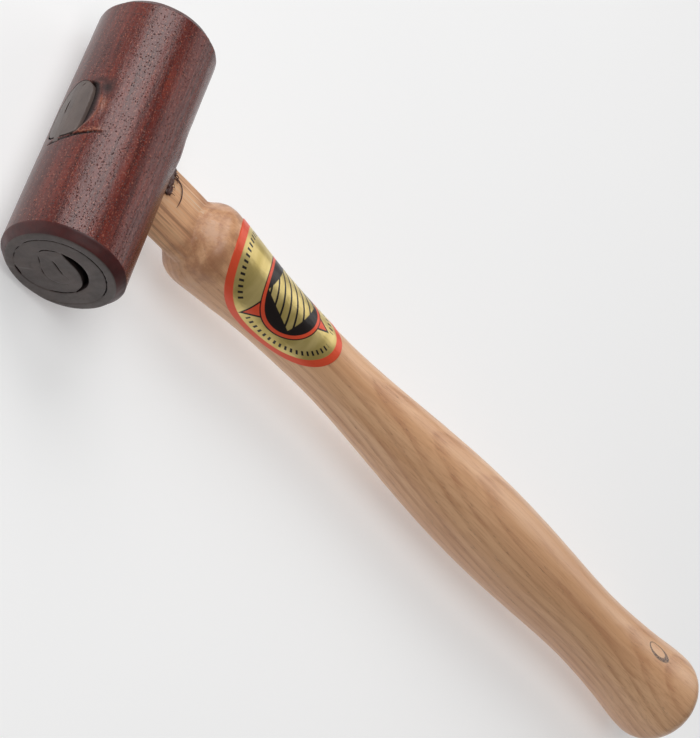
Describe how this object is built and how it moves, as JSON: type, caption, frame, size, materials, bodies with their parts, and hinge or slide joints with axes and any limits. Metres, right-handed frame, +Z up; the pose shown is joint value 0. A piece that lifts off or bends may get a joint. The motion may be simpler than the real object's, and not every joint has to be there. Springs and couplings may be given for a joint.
{
  "type": "rawhide mallet",
  "caption": "Small rawhide mallet: a head rolled from a thick hide strip, with an oval eye, on a turned ash handle with a foil label.",
  "frame": {"origin": "middle of the mallet's box, at the height of the surface that the head rests on", "axes": "+X along the handle from the head to the butt, +Y along the head from the front face to the back face, +Z up, with the label uppermost"},
  "size_m": [0.3004, 0.0776, 0.032],
  "materials": {
    "hide": "glossy lacquered rawhide",
    "glue": "dark hide glue",
    "ash": "satin lacquered ash",
    "wedge": "hardwood under dark lacquer",
    "foil": "printed gold foil"
  },
  "bodies": {
    "root": {"hide_roll": "hide", "outer_seam_glue": "glue", "inner_seam_glue": "glue", "ash_handle": "ash", "eye_wedge": "wedge", "handle_label": "foil"}
  },
  "joints": []
}
